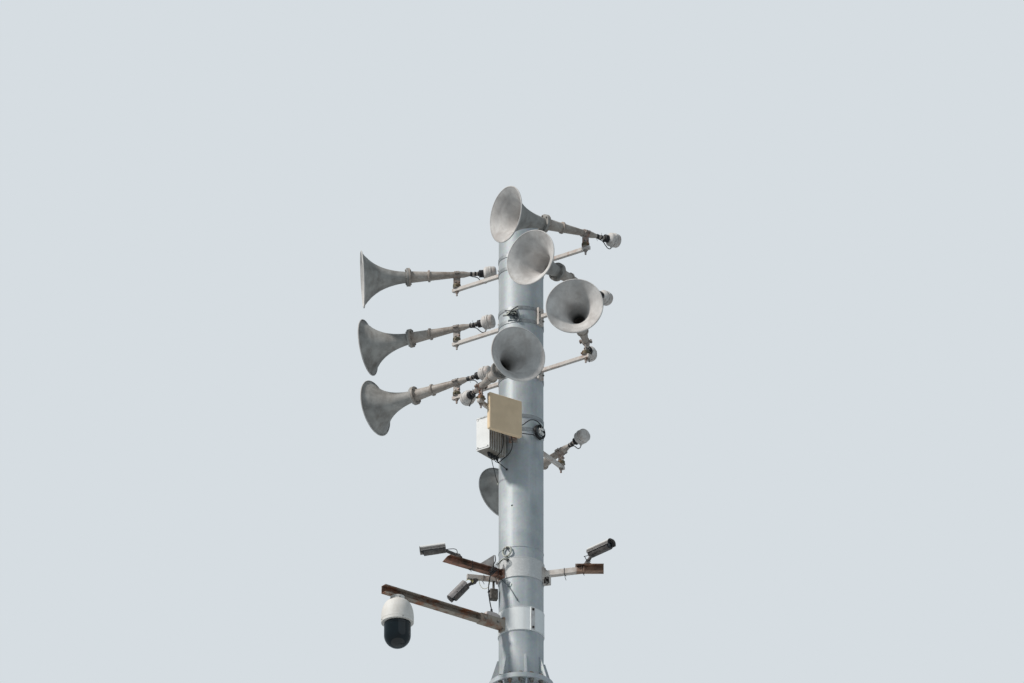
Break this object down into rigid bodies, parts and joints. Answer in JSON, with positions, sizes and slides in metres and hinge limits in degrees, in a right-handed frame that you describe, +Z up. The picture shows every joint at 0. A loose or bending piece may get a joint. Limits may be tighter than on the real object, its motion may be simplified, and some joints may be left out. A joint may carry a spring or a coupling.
{
  "type": "siren mast with horn speakers and cameras",
  "caption": "Flanged steel mast with outdoor siren horns on swivel brackets, a flat antenna, a radio box, bullet cameras and a hanging dome camera.",
  "frame": {"origin": "centre of the base flange's underside, where the mast stands on its foundation", "axes": "+Z up the mast, -Y to the front, +X to the right as seen from the front"},
  "size_m": [2.251, 2.8151, 11.8508],
  "materials": {
    "galvanised_mast": "matte weathered zinc",
    "arm_paint": "matte off-white paint",
    "strap_steel": "dull",
    "band_paint": "matte warm white",
    "rusty_steel": "rusty",
    "camera_shell": "satin",
    "dome_housing": "satin",
    "dome_glass": "gloss",
    "panel_cover": "matte",
    "bracket_steel": "weathered",
    "box_paint": "satin",
    "black_cable": "satin",
    "pale_cable": "satin",
    "horn_bell": "matte weathered grey",
    "horn_tube": "matte weathered grey",
    "driver_case": "matte"
  },
  "bodies": {
    "root": {"base_flange": "galvanised_mast", "pole_lower": "galvanised_mast", "joint_flange_lower": "galvanised_mast", "joint_flange_upper": "galvanised_mast", "pole_upper": "galvanised_mast", "pole_cap": "galvanised_mast", "horn_arms": "arm_paint", "arm_straps": "strap_steel", "camera_band": "band_paint", "dome_band": "band_paint", "camera_arm_left": "rusty_steel", "camera_arm_middle": "arm_paint", "camera_arm_right": "arm_paint", "camera_small": "camera_shell", "dome_arm": "rusty_steel", "dome_housing": "dome_housing", "panel_antenna": "panel_cover", "panel_arm": "bracket_steel", "radio_box": "box_paint", "radio_box_bracket": "bracket_steel", "cable_coil": "black_cable", "coil_hook": "bracket_steel", "pale_coil": "pale_cable", "pale_coil_hook": "bracket_steel"},
    "horn_1_right": {"bell_1_right": "horn_bell", "tube_1_right": "horn_tube", "driver_1_right": "driver_case", "bracket_1_right": "bracket_steel"},
    "horn_1_left": {"bell_1_left": "horn_bell", "tube_1_left": "horn_tube", "driver_1_left": "driver_case", "bracket_1_left": "bracket_steel"},
    "horn_2_right": {"bell_2_right": "horn_bell", "tube_2_right": "horn_tube", "driver_2_right": "driver_case", "bracket_2_right": "bracket_steel"},
    "horn_2_left": {"bell_2_left": "horn_bell", "tube_2_left": "horn_tube", "driver_2_left": "driver_case", "bracket_2_left": "bracket_steel"},
    "horn_3_right": {"bell_3_right": "horn_bell", "tube_3_right": "horn_tube", "driver_3_right": "driver_case", "bracket_3_right": "bracket_steel"},
    "horn_3_left": {"bell_3_left": "horn_bell", "tube_3_left": "horn_tube", "driver_3_left": "driver_case", "bracket_3_left": "bracket_steel"},
    "horn_4_front": {"bell_4_front": "horn_bell", "tube_4_front": "horn_tube", "driver_4_front": "driver_case", "bracket_4_front": "bracket_steel"},
    "horn_4_back": {"bell_4_back": "horn_bell", "tube_4_back": "horn_tube", "driver_4_back": "driver_case", "bracket_4_back": "bracket_steel"},
    "camera_left": {"camera_left": "camera_shell"},
    "camera_middle": {"camera_middle": "camera_shell"},
    "camera_right": {"camera_right": "camera_shell"},
    "dome_ball": {"dome_ball": "dome_glass"}
  },
  "joints": [
    {"name": "horn_1_right_swivel", "type": "hinge", "parent": "root", "child": "horn_1_right", "pos_m": [0.54786, -0.41285, 11.49], "axis": [0, 0, 1], "range_deg": [-15, 15]},
    {"name": "horn_1_left_swivel", "type": "hinge", "parent": "root", "child": "horn_1_left", "pos_m": [-0.54786, 0.41285, 11.49], "axis": [0, 0, 1], "range_deg": [-15, 15]},
    {"name": "horn_2_right_swivel", "type": "hinge", "parent": "root", "child": "horn_2_right", "pos_m": [0.54786, -0.41285, 10.984], "axis": [0, 0, 1], "range_deg": [-15, 15]},
    {"name": "horn_2_left_swivel", "type": "hinge", "parent": "root", "child": "horn_2_left", "pos_m": [-0.54786, 0.41285, 10.984], "axis": [0, 0, 1], "range_deg": [-15, 15]},
    {"name": "horn_3_right_swivel", "type": "hinge", "parent": "root", "child": "horn_3_right", "pos_m": [0.54786, -0.41285, 10.478], "axis": [0, 0, 1], "range_deg": [-15, 15]},
    {"name": "horn_3_left_swivel", "type": "hinge", "parent": "root", "child": "horn_3_left", "pos_m": [-0.54786, 0.41285, 10.478], "axis": [0, 0, 1], "range_deg": [-15, 15]},
    {"name": "horn_4_front_swivel", "type": "hinge", "parent": "root", "child": "horn_4_front", "pos_m": [-0.33988, -0.59588, 9.972], "axis": [0, 0, 1], "range_deg": [-15, 15]},
    {"name": "horn_4_back_swivel", "type": "hinge", "parent": "root", "child": "horn_4_back", "pos_m": [0.33988, 0.59588, 9.914], "axis": [0, 0, 1], "range_deg": [-15, 15]},
    {"name": "camera_left_pan", "type": "hinge", "parent": "root", "child": "camera_left", "pos_m": [-0.5282, -0.37537, 8.6225], "axis": [0, 0, 1], "range_deg": [-45, 45]},
    {"name": "camera_middle_pan", "type": "hinge", "parent": "root", "child": "camera_middle", "pos_m": [-0.39491, -0.09846, 8.549], "axis": [0, 0, 1], "range_deg": [-30, 30]},
    {"name": "camera_right_pan", "type": "hinge", "parent": "root", "child": "camera_right", "pos_m": [0.55893, -0.16108, 8.657], "axis": [0, 0, 1], "range_deg": [-45, 45]},
    {"name": "dome_pan", "type": "hinge", "parent": "root", "child": "dome_ball", "pos_m": [-1.03799, -0.77934, 8.083], "axis": [0, 0, 1], "continuous": true}
  ]
}
